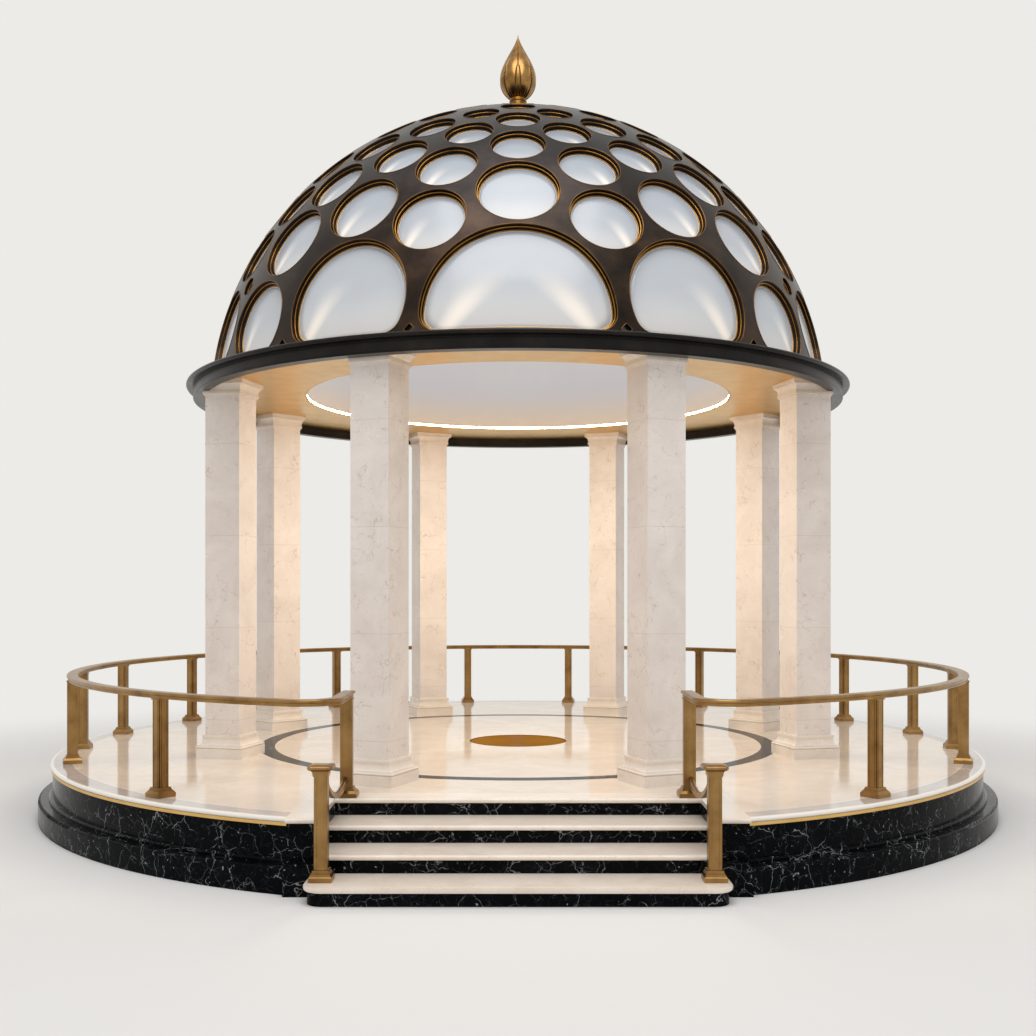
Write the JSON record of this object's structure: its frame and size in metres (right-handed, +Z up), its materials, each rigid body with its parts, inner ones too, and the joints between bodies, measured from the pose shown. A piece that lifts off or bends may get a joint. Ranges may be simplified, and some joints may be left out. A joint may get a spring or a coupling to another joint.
{
  "type": "garden pavilion",
  "caption": "Round open garden pavilion on a black marble podium, with square cream columns under a pierced bronze and frosted glass dome.",
  "frame": {"origin": "on the dome's axis at ground level, in the middle of the podium's underside", "axes": "+Z up, -Y towards the stairs at the front, +X to the right of someone facing the stairs"},
  "size_m": [11.01, 11.0648, 9.305],
  "materials": {
    "black_marble": "polished black marble with white veins",
    "cream_marble": "polished cream marble with faint veins",
    "dark_bronze": "dark bronze patina, satin",
    "satin_brass": "satin brass",
    "gilt_bronze": "gilt bronze, satin",
    "frosted_glass": "milky frosted glass, smooth",
    "warm_light": "diffuser of the warm light strip"
  },
  "bodies": {
    "root": {"podium_plinth": "black_marble", "podium_drum": "black_marble", "edge_strip": "satin_brass", "deck_border": "cream_marble", "deck_paving": "cream_marble", "floor_ring": "black_marble", "floor_ring_fillets": "satin_brass", "inner_floor": "cream_marble", "floor_medallion": "satin_brass", "stair_landing": "cream_marble", "tread_1": "cream_marble", "tread_2": "cream_marble", "tread_3": "cream_marble", "stair_risers": "black_marble", "stair_core": "black_marble", "stair_cheeks": "black_marble", "cheek_copings": "cream_marble", "column_left_1": "cream_marble", "column_left_2": "cream_marble", "column_left_3": "cream_marble", "column_left_4": "cream_marble", "column_right_1": "cream_marble", "column_right_2": "cream_marble", "column_right_3": "cream_marble", "column_right_4": "cream_marble", "column_bases": "cream_marble", "column_capitals": "cream_marble", "ring_beam": "dark_bronze", "soffit_ring": "satin_brass", "light_strip": "warm_light", "dome_lattice_front": "dark_bronze", "dome_lattice_right": "dark_bronze", "dome_lattice_back": "dark_bronze", "dome_lattice_left": "dark_bronze", "dome_glass_front": "frosted_glass", "dome_glass_back": "frosted_glass", "finial_foot": "gilt_bronze", "finial": "gilt_bronze", "handrail_left": "satin_brass", "handrail_right": "satin_brass", "rail_posts_left": "satin_brass", "rail_posts_right": "satin_brass", "newel_posts": "satin_brass", "stair_rails": "satin_brass"}
  },
  "joints": []
}
